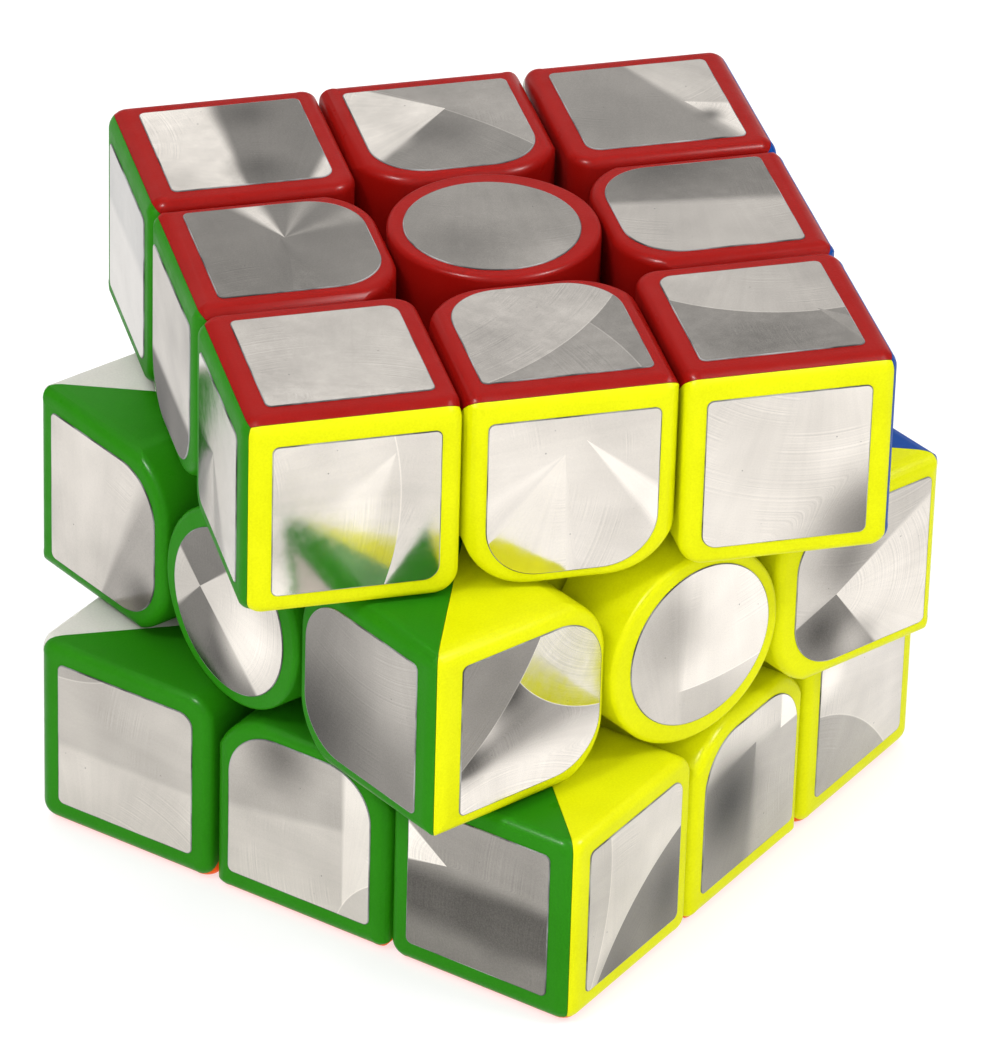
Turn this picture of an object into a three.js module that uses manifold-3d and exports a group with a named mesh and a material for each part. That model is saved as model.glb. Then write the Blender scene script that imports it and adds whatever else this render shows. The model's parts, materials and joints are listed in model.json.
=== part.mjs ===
// A twisty puzzle cube of three layers a side, as the parts it comes apart into.
// Units are millimetres and +Z is up. The origin is under the cube's centre, on the
// plane that its bottom face rests on. The front face looks along -Y.
//
// How it holds together: a core with six arms carries six screws. Each screw goes down
// through a spring into a centre piece, and lets that centre turn. Edges and corners
// have feet, which run in the hollow between two spheres around the cube's centre. The
// overhanging skirts of the centres and edges keep the feet in. Every cut between two
// layers is a plane outside the larger sphere and a deeper plane inside it, so that
// either end layer turns freely on the middle one.

import * as THREE from "three";
import { mergeVertices } from "three/addons/utils/BufferGeometryUtils.js";
import Module from "manifold-3d";

const wasm = await Module();
wasm.setup();

// Driving dimensions

const CUBE_SIDE = 57;
const PIECE_GAP = 0.3;
const TOP_LAYER_TURN = -24.8; // degrees about +Z from the middle layer
const BOTTOM_LAYER_TURN = 17.4;

const HALF = CUBE_SIDE / 2;
const CUT = CUBE_SIDE / 6; // the outer cut planes, from the cube's centre
const OUTSIDE_CUT = CUT + PIECE_GAP / 2;
const INSIDE_CUT = CUT - PIECE_GAP / 2;

const FOOT_CUT = 5.9; // the cut planes between the feet
const OUTSIDE_FOOT_CUT = FOOT_CUT + PIECE_GAP / 2;
const INSIDE_FOOT_CUT = FOOT_CUT - PIECE_GAP / 2;
const FOOT_OUTER_RADIUS = 21.2;
const OVERHANG_RADIUS = 21.75; // the undersides of the overhanging skirts
const FOOT_INNER_RADIUS = 15.5;

const OUTER_RADIUS = 1.7; // rounding where two facelets meet on the outside of the cube
const CORNER_INNER_RADIUS = 2.3; // rounding of a corner's facelets, towards the centre
const EDGE_INNER_RADIUS = 6.0; // rounding of an edge's facelets, towards the centre

const SHELL_WALL = 1.9; // wall of an edge's two hollow halves
const POCKET_START = 17;
const POCKET_HALF_WIDTH = 5;
const PEG_RADIUS = 1.0;
const PEG_LENGTH = 2.4;
const PEG_OFFSET = 7.4; // from the edge's middle, along the edge
const PEG_DEPTH = 21; // of both pegs, along each of the edge's two faces' directions

const CENTRE_RADIUS = 9.35;
const CAP_WALL = 1.4;
const CAP_TOP_THICKNESS = 1.9;
const CAP_BEVEL = 0.5;
const NECK_RADIUS = 7.5;
const STEM_RADIUS = 5.4;
const STEM_BOTTOM = 9.2;
const SPRING_SEAT = 12.4;
const SPRING_BORE_RADIUS = 3.3;
const SCREW_HOLE_RADIUS = 1.9;

const SCREW_HEAD_RADIUS = 2.9;
const SCREW_HEAD_BOTTOM = 20;
const SCREW_HEAD_TOP = 22.2;
const SCREW_SHANK_RADIUS = 1.35;
const SCREW_TIP = 3.2;
const RECESS_LENGTH = 3.4;
const RECESS_WIDTH = 0.9;
const RECESS_DEPTH = 1.3;

const SPRING_RADIUS = 2.45;
const SPRING_WIRE_RADIUS = 0.35;
const SPRING_TURNS = 3;

const CORE_BALL_RADIUS = 6.5;
const CORE_ARM_RADIUS = 4.0;
const CORE_ARM_END = 8.8;
const CORE_BORE_RADIUS = 1.65;
const CORE_BORE_START = 2.5;

// Each colour's side of the cube

const SIDES = {
  red: { out: new THREE.Vector3(0, 0, 1), colour: 0xb01818 },
  orange: { out: new THREE.Vector3(0, 0, -1), colour: 0xe8641a },
  yellow: { out: new THREE.Vector3(0, -1, 0), colour: 0xe6f000 },
  white: { out: new THREE.Vector3(0, 1, 0), colour: 0xeeeeea },
  green: { out: new THREE.Vector3(-1, 0, 0), colour: 0x2f9a28 },
  blue: { out: new THREE.Vector3(1, 0, 0), colour: 0x1257ad },
};
const COLOURS = Object.keys(SIDES);

const steel = new THREE.MeshStandardMaterial({ color: 0xb4b6b8, metalness: 1, roughness: 0.35 });
const corePlastic = new THREE.MeshStandardMaterial({ color: 0x26272a, roughness: 0.55 });
for (const side of Object.values(SIDES)) {
  side.material = new THREE.MeshStandardMaterial({ color: side.colour, roughness: 0.4 });
}

// Solids

function solidFrom(geometry) {
  const positionsOnly = new THREE.BufferGeometry();
  const faces = geometry.index ? geometry.toNonIndexed() : geometry;
  positionsOnly.setAttribute("position", faces.getAttribute("position"));
  const merged = mergeVertices(positionsOnly, 1e-4);
  const vertProperties = merged.getAttribute("position").array;
  const triVerts = new Uint32Array(merged.index.array);
  return new wasm.Manifold(new wasm.Mesh({ numProp: 3, vertProperties, triVerts }));
}

function geometryFrom(solid) {
  const { vertProperties, triVerts } = solid.getMesh();
  const geometry = new THREE.BufferGeometry();
  geometry.setAttribute("position", new THREE.BufferAttribute(vertProperties, 3));
  geometry.setIndex(new THREE.BufferAttribute(triVerts, 1));
  geometry.computeVertexNormals();
  return geometry;
}

// A box given by its lowest and highest corners.
function box(low, high) {
  const [x, y, z] = low.map((value, axis) => (value + high[axis]) / 2);
  const [width, depth, height] = low.map((value, axis) => high[axis] - value);
  return solidFrom(new THREE.BoxGeometry(width, depth, height).translate(x, y, z));
}

function ball(radius, detail) {
  return solidFrom(new THREE.IcosahedronGeometry(radius, detail));
}

// A cylinder along Z, from one height to another.
function rod(radius, bottom, top, segments) {
  const geometry = new THREE.CylinderGeometry(radius, radius, top - bottom, segments);
  return solidFrom(geometry.rotateX(Math.PI / 2).translate(0, 0, (bottom + top) / 2));
}

// A solid of revolution about Z, from [radius, height] points that go round anticlockwise.
function turned(profile, segments) {
  const points = profile.map(([radius, height]) => new THREE.Vector2(radius, height));
  return solidFrom(new THREE.LatheGeometry(points, segments).rotateX(Math.PI / 2));
}

// The outline of a corner's facelet, from low,low out to the cube's outer corner. It is
// rounded there, and where it points to the middle of the face.
function cornerOutline(low) {
  const outline = new THREE.Shape();
  const inner = low + CORNER_INNER_RADIUS;
  const outer = HALF - OUTER_RADIUS;
  outline.moveTo(inner, low);
  outline.lineTo(HALF, low);
  outline.lineTo(HALF, outer);
  outline.absarc(outer, outer, OUTER_RADIUS, 0, Math.PI / 2, false);
  outline.lineTo(low, HALF);
  outline.lineTo(low, inner);
  outline.absarc(inner, inner, CORNER_INNER_RADIUS, Math.PI, Math.PI * 1.5, false);
  return outline;
}

// The outline of an edge's facelet: its u runs out to the cube's edge, its v along it.
function edgeOutline(low, halfLength) {
  const outline = new THREE.Shape();
  const u = low + EDGE_INNER_RADIUS;
  const v = halfLength - EDGE_INNER_RADIUS;
  outline.moveTo(u, -halfLength);
  outline.lineTo(HALF, -halfLength);
  outline.lineTo(HALF, halfLength);
  outline.lineTo(u, halfLength);
  outline.absarc(u, v, EDGE_INNER_RADIUS, Math.PI / 2, Math.PI, false);
  outline.absarc(u, -v, EDGE_INNER_RADIUS, Math.PI, Math.PI * 1.5, false);
  return outline;
}

// An outline in XY, made into a prism along Z up to the cube's face.
function prism(outline, curveSegments) {
  return new THREE.ExtrudeGeometry(outline, { depth: HALF, bevelEnabled: false, curveSegments });
}

// The rotation that takes the X and Y axes to two perpendicular directions.
function turnTo(xGoesTo, yGoesTo) {
  const zGoesTo = new THREE.Vector3().crossVectors(xGoesTo, yGoesTo);
  return new THREE.Matrix4().makeBasis(xGoesTo, yGoesTo, zGoesTo);
}

const X = new THREE.Vector3(1, 0, 0);
const Y = new THREE.Vector3(0, 1, 0);
const Z = new THREE.Vector3(0, 0, 1);

const overhangBall = ball(OVERHANG_RADIUS, 3);
const footBall = ball(FOOT_OUTER_RADIUS, 3);
const innerBall = ball(FOOT_INNER_RADIUS, 2);

// A block outside the overhang sphere, and its foot, joined by the neck where both reach.
function pieceWithFoot(block, footBox) {
  const skirt = block.subtract(overhangBall);
  const neck = block.intersect(footBox).subtract(innerBall);
  const foot = footBox.intersect(footBall).subtract(innerBall);
  return skirt.add(neck).add(foot);
}

// Corner, on the +X, +Y and +Z faces

function makeCorner() {
  const low = OUTSIDE_CUT;
  const outline = cornerOutline(low);
  const along = (x, y) => solidFrom(prism(outline, 3).applyMatrix4(turnTo(x, y)));
  const block = along(X, Y).intersect(along(Y, Z)).intersect(along(Z, X));
  const footLow = OUTSIDE_FOOT_CUT;
  const footBox = box([footLow, footLow, footLow], [HALF, HALF, HALF]);
  return pieceWithFoot(block, footBox);
}

// Edge, on the +X and +Y faces, and its two halves

function makeWholeEdge() {
  const outline = edgeOutline(OUTSIDE_CUT, INSIDE_CUT);
  const xFace = solidFrom(prism(outline, 4).applyMatrix4(turnTo(Y, Z)));
  const yFacePrism = prism(outline, 4).applyMatrix4(turnTo(X, Z));
  const yFace = solidFrom(yFacePrism.translate(0, HALF, 0));
  const roundedBar = solidFrom(prism(cornerOutline(OUTSIDE_FOOT_CUT), 3).translate(0, 0, -CUT));
  const block = xFace.intersect(yFace).intersect(roundedBar);
  const footBox = box(
    [OUTSIDE_FOOT_CUT, OUTSIDE_FOOT_CUT, -INSIDE_FOOT_CUT],
    [HALF, HALF, INSIDE_FOOT_CUT],
  );
  return pieceWithFoot(block, footBox);
}

// Everything on the +X side of the diagonal plane that halves an edge, less half the gap.
function halfSpace() {
  const reach = CUBE_SIDE;
  const shift = (PIECE_GAP / 2) * Math.SQRT2;
  const outline = new THREE.Shape();
  outline.moveTo(shift - reach, -reach);
  outline.lineTo(reach, -reach);
  outline.lineTo(reach, reach - shift);
  const geometry = new THREE.ExtrudeGeometry(outline, { depth: reach, bevelEnabled: false });
  return solidFrom(geometry.translate(0, 0, -reach / 2));
}

// Two rods across the diagonal plane: the locating pegs, or the sockets for them.
function pegs(radius, reachIn, reachOut) {
  const acrossThePlane = new THREE.Vector3(-1, 1, 0).normalize();
  const turn = new THREE.Quaternion().setFromUnitVectors(Y, acrossThePlane);
  const rods = [-PEG_OFFSET, PEG_OFFSET].map((z) => {
    const geometry = new THREE.CylinderGeometry(radius, radius, reachIn + reachOut, 6);
    geometry.translate(0, (reachOut - reachIn) / 2, 0);
    geometry.applyQuaternion(turn);
    return solidFrom(geometry.translate(PEG_DEPTH, PEG_DEPTH, z));
  });
  return rods[0].add(rods[1]);
}

const mirrorAcrossDiagonal = [0, 1, 0, 0, 1, 0, 0, 0, 0, 0, 1, 0, 0, 0, 0, 1];

function makeEdgeHalves() {
  const wholeEdge = makeWholeEdge();
  const pocket = box(
    [POCKET_START, OUTSIDE_CUT + SHELL_WALL, -POCKET_HALF_WIDTH],
    [HALF - SHELL_WALL, HALF, POCKET_HALF_WIDTH],
  );
  const plainHalf = wholeEdge.intersect(halfSpace()).subtract(pocket);
  const withPegs = plainHalf.add(pegs(PEG_RADIUS, PEG_RADIUS, PEG_LENGTH));
  const socketRadius = PEG_RADIUS + PIECE_GAP;
  const sockets = pegs(socketRadius, PEG_LENGTH + 2 * PIECE_GAP, PEG_RADIUS);
  const withSockets = plainHalf.subtract(sockets).transform(mirrorAcrossDiagonal);
  return [withPegs, withSockets];
}

// Centre, along +Z: a base on its stem, a cap over it, a screw and a spring

// The height at which the overhang sphere stands, at a distance from its axis.
function overhangHeight(radius) {
  return Math.sqrt(OVERHANG_RADIUS ** 2 - radius ** 2);
}

function makeCentreBase() {
  const top = HALF - CAP_TOP_THICKNESS - PIECE_GAP;
  const profile = [
    [SCREW_HOLE_RADIUS, STEM_BOTTOM],
    [STEM_RADIUS, STEM_BOTTOM],
    [STEM_RADIUS, overhangHeight(STEM_RADIUS)],
    [NECK_RADIUS, overhangHeight(NECK_RADIUS)],
    [NECK_RADIUS, top],
    [SPRING_BORE_RADIUS, top],
    [SPRING_BORE_RADIUS, SPRING_SEAT],
    [SCREW_HOLE_RADIUS, SPRING_SEAT],
    [SCREW_HOLE_RADIUS, STEM_BOTTOM],
  ];
  return turned(profile, 16);
}

function makeCentreCap() {
  const inside = CENTRE_RADIUS - CAP_WALL;
  const ceiling = HALF - CAP_TOP_THICKNESS;
  const profile = [
    [0, ceiling],
    [inside, ceiling],
    [inside, overhangHeight(inside)],
    [CENTRE_RADIUS, overhangHeight(CENTRE_RADIUS)],
    [CENTRE_RADIUS, HALF - CAP_BEVEL],
    [CENTRE_RADIUS - CAP_BEVEL, HALF],
    [0, HALF],
  ];
  return turned(profile, 24);
}

function makeScrew() {
  const profile = [
    [0, SCREW_TIP],
    [SCREW_SHANK_RADIUS, SCREW_TIP + 1],
    [SCREW_SHANK_RADIUS, SCREW_HEAD_BOTTOM],
    [SCREW_HEAD_RADIUS, SCREW_HEAD_BOTTOM],
    [SCREW_HEAD_RADIUS, SCREW_HEAD_TOP],
    [0, SCREW_HEAD_TOP],
  ];
  const long = RECESS_LENGTH / 2;
  const narrow = RECESS_WIDTH / 2;
  const bottom = SCREW_HEAD_TOP - RECESS_DEPTH;
  const slot = box([-long, -narrow, bottom], [long, narrow, SCREW_HEAD_TOP + 1]);
  const crossSlot = box([-narrow, -long, bottom], [narrow, long, SCREW_HEAD_TOP + 1]);
  return turned(profile, 10).subtract(slot).subtract(crossSlot);
}

class Helix extends THREE.Curve {
  constructor(radius, bottom, top, turns) {
    super();
    Object.assign(this, { radius, bottom, top, turns });
  }

  getPoint(t, target = new THREE.Vector3()) {
    const angle = 2 * Math.PI * this.turns * t;
    const height = THREE.MathUtils.lerp(this.bottom, this.top, t);
    return target.set(this.radius * Math.cos(angle), this.radius * Math.sin(angle), height);
  }
}

function makeSpring() {
  const clearance = SPRING_WIRE_RADIUS + PIECE_GAP;
  const bottom = SPRING_SEAT + clearance;
  const top = SCREW_HEAD_BOTTOM - clearance;
  const extrudePath = new Helix(SPRING_RADIUS, bottom, top, SPRING_TURNS);
  const section = new THREE.Shape();
  for (const side of [0, 1, 2, 3, 4]) {
    const angle = (side / 5) * 2 * Math.PI;
    const x = SPRING_WIRE_RADIUS * Math.cos(angle);
    const y = SPRING_WIRE_RADIUS * Math.sin(angle);
    if (side === 0) section.moveTo(x, y);
    else section.lineTo(x, y);
  }
  const steps = SPRING_TURNS * 8;
  return solidFrom(new THREE.ExtrudeGeometry(section, { steps, extrudePath }));
}

// Core: a ball with six arms, bored for the screws

function makeCore() {
  const arm = rod(CORE_ARM_RADIUS, 0, CORE_ARM_END, 10);
  const bore = rod(CORE_BORE_RADIUS, CORE_BORE_START, CORE_ARM_END + 1, 8);
  const centreTurns = Object.values(SIDES).map(({ out }) => turnAlong(out).elements);
  let core = ball(CORE_BALL_RADIUS, 1);
  for (const turn of centreTurns) core = core.add(arm.transform(turn));
  for (const turn of centreTurns) core = core.subtract(bore.transform(turn));
  return core;
}

// The rotation that takes +Z to a side's outward direction.
function turnAlong(out) {
  const turn = new THREE.Quaternion().setFromUnitVectors(Z, out);
  return new THREE.Matrix4().makeRotationFromQuaternion(turn);
}

// Assembly

const cube = new THREE.Group();
const middleLayer = new THREE.Group();
const topLayer = new THREE.Group();
const bottomLayer = new THREE.Group();
topLayer.rotation.z = THREE.MathUtils.degToRad(TOP_LAYER_TURN);
bottomLayer.rotation.z = THREE.MathUtils.degToRad(BOTTOM_LAYER_TURN);
cube.add(middleLayer, topLayer, bottomLayer);
cube.position.z = HALF;

function layerOf(colours) {
  if (colours.includes("red")) return topLayer;
  return colours.includes("orange") ? bottomLayer : middleLayer;
}

function place(name, geometry, material, turn, layer) {
  const mesh = new THREE.Mesh(geometry, material);
  mesh.name = name;
  mesh.quaternion.setFromRotationMatrix(turn);
  layer.add(mesh);
}

function areNeighbours(first, second) {
  return SIDES[first].out.dot(SIDES[second].out) === 0;
}

function addCentres() {
  const base = geometryFrom(makeCentreBase());
  const cap = geometryFrom(makeCentreCap());
  const screw = geometryFrom(makeScrew());
  const spring = geometryFrom(makeSpring());
  for (const colour of COLOURS) {
    const { out, material } = SIDES[colour];
    const turn = turnAlong(out);
    const layer = layerOf([colour]);
    place(`centre_base_${colour}`, base, material, turn, layer);
    place(`centre_cap_${colour}`, cap, material, turn, layer);
    place(`centre_spring_${colour}`, spring, steel, turn, layer);
    place(`centre_screw_${colour}`, screw, steel, turn, middleLayer);
  }
}

function addEdges() {
  const [firstHalf, secondHalf] = makeEdgeHalves().map(geometryFrom);
  COLOURS.forEach((first, index) => {
    for (const second of COLOURS.slice(index + 1)) {
      if (!areNeighbours(first, second)) continue;
      const turn = turnTo(SIDES[first].out, SIDES[second].out);
      const layer = layerOf([first, second]);
      const name = `edge_${first}_${second}_half_`;
      place(name + first, firstHalf, SIDES[first].material, turn, layer);
      place(name + second, secondHalf, SIDES[second].material, turn, layer);
    }
  });
}

function addCorners() {
  const corner = geometryFrom(makeCorner());
  for (const first of ["red", "orange"]) {
    for (const second of ["yellow", "white"]) {
      for (const third of ["green", "blue"]) {
        const [a, b, c] = [first, second, third].map((colour) => SIDES[colour].out);
        const rightHanded = new THREE.Vector3().crossVectors(a, b).dot(c) > 0;
        const turn = rightHanded ? turnTo(a, b) : turnTo(b, a);
        const name = `corner_${first}_${second}_${third}`;
        place(name, corner, SIDES[first].material, turn, layerOf([first]));
      }
    }
  }
}

place("core", geometryFrom(makeCore()), corePlastic, new THREE.Matrix4(), middleLayer);
addCentres();
addEdges();
addCorners();

export default cube;
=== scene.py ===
"""The looks of the twisty puzzle cube: moulded plastic shells, mirror films, screws and springs."""
import json
import math
import random

import bmesh
import bpy
from mathutils import Matrix, Vector

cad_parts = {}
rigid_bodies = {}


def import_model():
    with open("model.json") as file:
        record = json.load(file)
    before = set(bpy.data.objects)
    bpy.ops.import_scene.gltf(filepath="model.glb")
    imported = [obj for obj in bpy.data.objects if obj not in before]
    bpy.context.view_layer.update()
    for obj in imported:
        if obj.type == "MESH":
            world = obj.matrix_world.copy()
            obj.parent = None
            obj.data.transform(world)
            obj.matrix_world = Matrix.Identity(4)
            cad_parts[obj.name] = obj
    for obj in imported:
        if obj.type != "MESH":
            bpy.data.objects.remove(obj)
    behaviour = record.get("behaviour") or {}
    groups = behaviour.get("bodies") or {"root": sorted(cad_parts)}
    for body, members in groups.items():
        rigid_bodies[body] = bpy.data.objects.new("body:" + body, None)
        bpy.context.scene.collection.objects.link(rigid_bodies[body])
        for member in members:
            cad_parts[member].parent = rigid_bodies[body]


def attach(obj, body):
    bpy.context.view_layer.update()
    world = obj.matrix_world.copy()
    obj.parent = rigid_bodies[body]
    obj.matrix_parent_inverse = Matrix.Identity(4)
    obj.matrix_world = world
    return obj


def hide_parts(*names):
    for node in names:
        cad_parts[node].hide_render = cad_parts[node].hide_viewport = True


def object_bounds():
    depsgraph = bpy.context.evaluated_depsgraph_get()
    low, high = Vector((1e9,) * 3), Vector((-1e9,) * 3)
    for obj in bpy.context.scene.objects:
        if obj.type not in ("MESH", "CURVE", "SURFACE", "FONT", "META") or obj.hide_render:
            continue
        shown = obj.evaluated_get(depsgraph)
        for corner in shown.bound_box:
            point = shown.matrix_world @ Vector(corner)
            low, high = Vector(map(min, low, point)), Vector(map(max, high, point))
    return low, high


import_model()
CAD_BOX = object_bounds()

# Lengths are millimetres in the middle layer's own axes, about the cube's centre, if not said
# otherwise. An object's mesh is brought to metres and to its place at rest by place().

MM = 0.001
SIDE = (CAD_BOX[1][2] - CAD_BOX[0][2]) / MM
HALF = SIDE / 2
CUT = SIDE / 6  # the distance of a plane between two layers from the middle
GAP = 0.3  # between two pieces
OUTSIDE_CUT = CUT + GAP / 2
INSIDE_CUT = CUT - GAP / 2
TOP_LAYER_TURN = math.radians(-24.8)
BOTTOM_LAYER_TURN = math.radians(17.4)

FOOT_CUT = 5.9  # and of a plane between two feet, which reach in under the next pieces
OUTSIDE_FOOT_CUT = FOOT_CUT + GAP / 2
INSIDE_FOOT_CUT = FOOT_CUT - GAP / 2
FOOT_END = HALF - 2  # where a foot ends inside its own shell
FOOT_OUTER_RADIUS = 21.2
OVERHANG_RADIUS = 21.75
FOOT_INNER_RADIUS = 15.5

RIM_FILLET = 0.9  # where a facelet meets the sides that face other pieces
OUTER_FILLET = 1.7  # where two facelets meet on the outside of the cube
CAP_FILLET = 0.55
FILLET_STEPS = 7
SMOOTH_BELOW = math.radians(32)  # edges that turn by more than this stay sharp
SEAM = 0.02  # half the hairline between two coloured shells
CORNER_INNER_RADIUS = 2.3
EDGE_INNER_RADIUS = 6.0
CENTRE_RADIUS = 9.35

FILM_THICKNESS = 0.11
FILM_FROM_OUTSIDE = 2.45  # a film's distance from the outside of the cube
FILM_FROM_SIDE = 1.82  # and from the sides that face other pieces
FILM_FROM_INNER_END = 1.15  # and from the rounded end of an edge
FILM_RADIUS = 0.6
FILM_CORNER_INNER_RADIUS = 1.4
FILM_EDGE_INNER_RADIUS = 4.85
FILM_CENTRE_RADIUS = 7.75
FILM_RIM = 0.08  # the width of the cut rim round a film, painted dark as a thin shade line
# A film's edge in section: how far in from the outline, and how high as a share of its thickness
FILM_EDGE = [(0, -0.02), (0, 0.6), (0.02, 0.85), (0.05, 1.0), (FILM_RIM, 1.0)]

SIDES = {
    "red": Vector((0, 0, 1)),
    "orange": Vector((0, 0, -1)),
    "yellow": Vector((0, -1, 0)),
    "white": Vector((0, 1, 0)),
    "green": Vector((-1, 0, 0)),
    "blue": Vector((1, 0, 0)),
}
COLOURS = list(SIDES)
CENTRE_BODIES = {
    "red": "top_layer",
    "orange": "bottom_layer",
    "yellow": "front_centre",
    "white": "back_centre",
    "green": "left_centre",
    "blue": "right_centre",
}


# Mesh tools


def new_object(name, mesh):
    obj = bpy.data.objects.new(name, mesh)
    bpy.context.collection.objects.link(obj)
    return obj


def object_from_faces(name, vertices, faces):
    mesh = bpy.data.meshes.new(name)
    mesh.from_pydata(vertices, [], faces)
    mesh.update()
    return new_object(name, mesh)


def object_from_bmesh(name, bm):
    mesh = bpy.data.meshes.new(name)
    bmesh.ops.recalc_face_normals(bm, faces=bm.faces)
    bm.to_mesh(mesh)
    bm.free()
    return new_object(name, mesh)


def ball(radius):
    bm = bmesh.new()
    bmesh.ops.create_icosphere(bm, subdivisions=5, radius=radius)
    return object_from_bmesh("ball", bm)


def box(low, high):
    bm = bmesh.new()
    bmesh.ops.create_cube(bm, size=1)
    for vertex in bm.verts:
        for axis in range(3):
            share = vertex.co[axis] + 0.5
            vertex.co[axis] = low[axis] + (high[axis] - low[axis]) * share
    return object_from_bmesh("box", bm)


def wedge(normals):
    """The big block on the inner side of planes near the cube's centre, cut back by the seam."""
    bm = bmesh.new()
    bmesh.ops.create_cube(bm, size=4 * HALF)
    for normal in normals:
        outward = Vector(normal).normalized()
        everything = bm.verts[:] + bm.edges[:] + bm.faces[:]
        cut = bmesh.ops.bisect_plane(
            bm, geom=everything, plane_co=-outward * SEAM, plane_no=outward, clear_outer=True
        )
        rim = [part for part in cut["geom_cut"] if isinstance(part, bmesh.types.BMEdge)]
        bmesh.ops.holes_fill(bm, edges=rim)
    return object_from_bmesh("wedge", bm)


def combine(target, tool, operation):
    """Joins or cuts target with tool, and removes the tool."""
    modifier = target.modifiers.new("combine", "BOOLEAN")
    modifier.solver = "EXACT"
    modifier.operation = operation
    modifier.object = tool
    depsgraph = bpy.context.evaluated_depsgraph_get()
    mesh = bpy.data.meshes.new_from_object(target.evaluated_get(depsgraph))
    target.modifiers.clear()
    target.data = mesh
    bpy.data.objects.remove(tool)
    return target


def outline(corners, fillets, steps):
    """Points round a right-angled outline, anticlockwise, as (place, outward normal, fillet).

    A corner is (x, y, radius), and fillets holds the rim fillet of the side after each corner.
    """
    points = []
    for index, (x, y, radius) in enumerate(corners):
        here = Vector((x, y))
        before = (here - Vector(corners[index - 1][:2])).normalized()
        after = (Vector(corners[(index + 1) % len(corners)][:2]) - here).normalized()
        first = Vector((before.y, -before.x))
        last = Vector((after.y, -after.x))
        centre = here - (first + last) * radius
        for step in range(steps[index] + 1):
            share = step / steps[index]
            angle = share * math.pi / 2
            normal = first * math.cos(angle) + last * math.sin(angle)
            fillet = fillets[index - 1] * (1 - share) + fillets[index] * share
            points.append((centre + normal * radius, normal, fillet))
    return points


def circle(radius, steps):
    """Points round a circle, like those of an outline, with no fillet."""
    points = []
    for step in range(steps):
        angle = 2 * math.pi * step / steps
        normal = Vector((math.cos(angle), math.sin(angle)))
        points.append((normal * radius, normal, 0))
    return points


def skin(rings):
    """Faces between rings of vertices, with a flat face over the first and the last ring."""
    count = len(rings[0])
    vertices = [vertex for ring in rings for vertex in ring]
    faces = []
    for level in range(len(rings) - 1):
        for index in range(count):
            a = level * count + index
            b = level * count + (index + 1) % count
            faces.append((a, b, b + count, a + count))
    faces.append(tuple(reversed(range(count))))
    faces.append(tuple(range(len(vertices) - count, len(vertices))))
    return vertices, faces


def filleted_prism(points, bottom, top):
    """A prism along Z whose top rim is rounded by each point's fillet."""
    rings = [[(*at, bottom) for at, normal, fillet in points]]
    for step in range(FILLET_STEPS + 1):
        angle = step / FILLET_STEPS * math.pi / 2
        inwards = 1 - math.cos(angle)
        downwards = 1 - math.sin(angle)
        rings.append(
            [
                (*(at - normal * fillet * inwards), top - fillet * downwards)
                for at, normal, fillet in points
            ]
        )
    return object_from_faces("prism", *skin(rings))


def turned(name, profile, steps):
    """A solid of revolution about Z from (radius, height) points that go round anticlockwise."""
    bm = bmesh.new()
    vertices = [bm.verts.new((radius, 0, height)) for radius, height in profile]
    count = len(vertices)
    edges = [bm.edges.new((vertices[i], vertices[(i + 1) % count])) for i in range(count)]
    bmesh.ops.spin(
        bm,
        geom=vertices + edges,
        cent=(0, 0, 0),
        axis=(0, 0, 1),
        angle=2 * math.pi,
        steps=steps,
        use_merge=True,
    )
    bmesh.ops.remove_doubles(bm, verts=bm.verts, dist=1e-4)
    loose = [edge for edge in bm.edges if not edge.link_faces]
    bmesh.ops.delete(bm, geom=loose, context="EDGES")
    return object_from_bmesh(name, bm)


def arc(x, y, radius, start, end, steps=5):
    """Points of an arc in a profile, from one angle to another in degrees."""
    angles = [math.radians(start + (end - start) * step / steps) for step in range(steps + 1)]
    return [(x + radius * math.cos(a), y + radius * math.sin(a)) for a in angles]


def paint_flatness(mesh):
    """Stores on each vertex how flat the surface is there, from 0 on a fillet to 1 on a face."""
    flat = mesh.attributes.new("flatness", "FLOAT", "POINT")
    on_fillet = 0.8
    for vertex in mesh.vertices:
        straightest = max(abs(part) for part in vertex.normal)
        flat.data[vertex.index].value = max(0.0, (straightest - on_fillet) / (1 - on_fillet))


def smooth(obj):
    obj.data.shade_smooth()
    obj.data.set_sharp_from_angle(angle=SMOOTH_BELOW)
    return obj


# Shells, in the octant of +X, +Y and +Z, with their own facelet on +Z


def with_foot(prism, foot_low, foot_high):
    """A prism cut off over the overhang sphere, with a foot that reaches in under it."""
    hollow = combine(ball(OVERHANG_RADIUS), box(foot_low, foot_high), "DIFFERENCE")
    shell = combine(prism, hollow, "DIFFERENCE")
    foot = combine(box(foot_low, foot_high), ball(FOOT_OUTER_RADIUS), "INTERSECT")
    shell = combine(shell, foot, "UNION")
    return combine(shell, ball(FOOT_INNER_RADIUS), "DIFFERENCE")


def make_corner_shell():
    low, high = OUTSIDE_CUT, HALF
    corners = [
        (low, low, CORNER_INNER_RADIUS),
        (high, low, OUTER_FILLET),
        (high, high, OUTER_FILLET),
        (low, high, OUTER_FILLET),
    ]
    fillets = [RIM_FILLET, OUTER_FILLET, OUTER_FILLET, RIM_FILLET]
    points = outline(corners, fillets, [10, 6, 5, 6])
    prism = filleted_prism(points, OUTSIDE_CUT, HALF)
    foot = OUTSIDE_FOOT_CUT
    shell = with_foot(prism, (foot, foot, foot), (FOOT_END, FOOT_END, FOOT_END))
    return combine(shell, wedge([(1, 0, -1), (0, 1, -1)]), "INTERSECT")


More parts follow.
